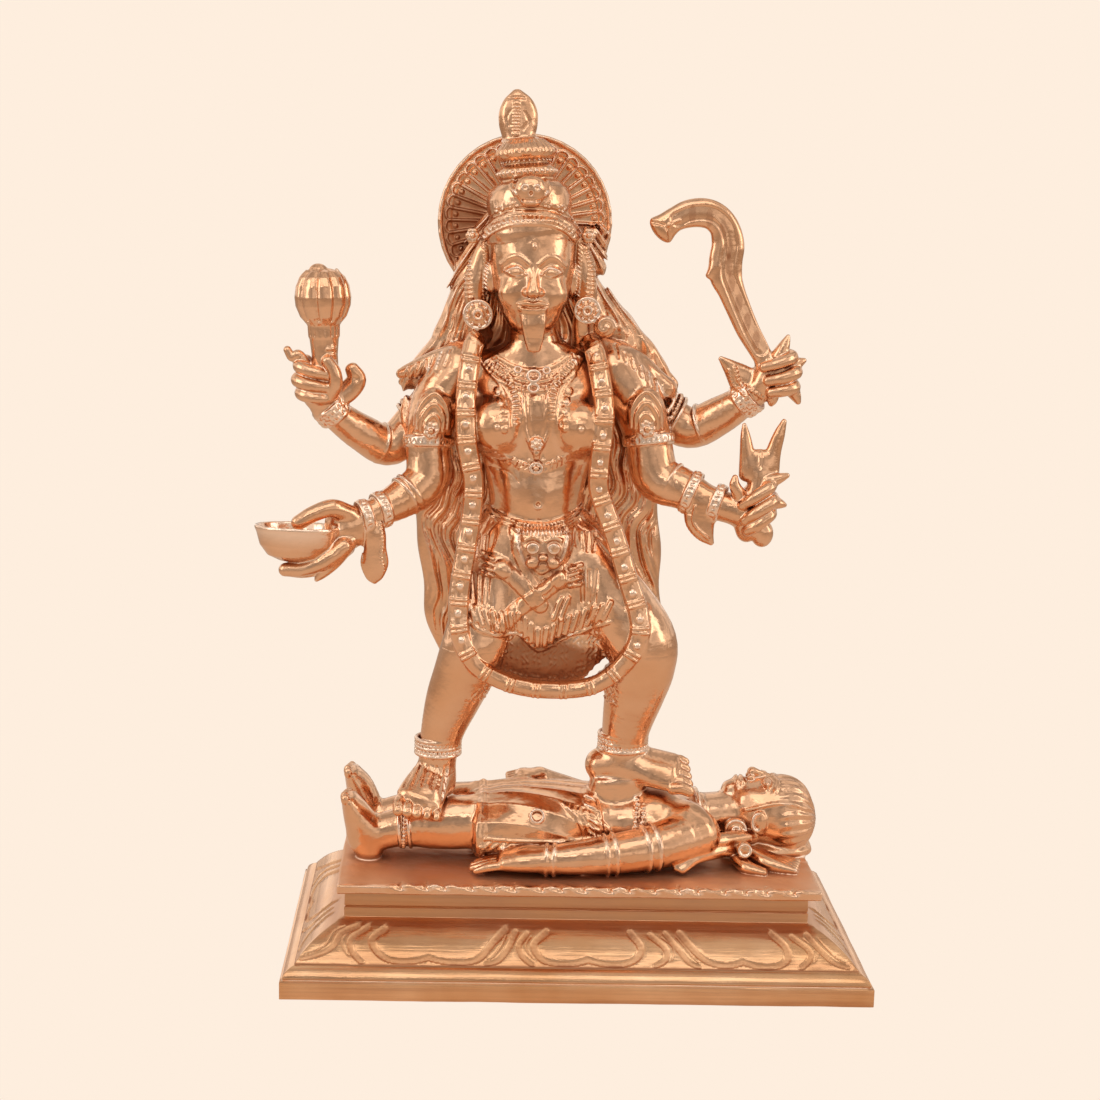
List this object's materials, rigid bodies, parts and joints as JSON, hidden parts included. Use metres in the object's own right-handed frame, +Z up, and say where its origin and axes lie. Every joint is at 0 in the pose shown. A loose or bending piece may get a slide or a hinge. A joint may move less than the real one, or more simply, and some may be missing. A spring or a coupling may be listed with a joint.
{
  "type": "deity figure on a plinth",
  "caption": "Cast metal figure of a four-armed goddess standing on a recumbent figure, on a moulded plinth with petals.",
  "frame": {"origin": "middle of the plinth's underside", "axes": "+Z up, the figure faces -Y, +X to the viewer's right"},
  "size_m": [0.1589, 0.085, 0.2256],
  "materials": {
    "figure_metal": "polished rose copper, dark in the carving",
    "plinth_metal": "polished rose copper with a browner patina on the flat courses"
  },
  "bodies": {
    "root": {"figure_group": "figure_metal", "plinth": "plinth_metal"}
  },
  "joints": []
}
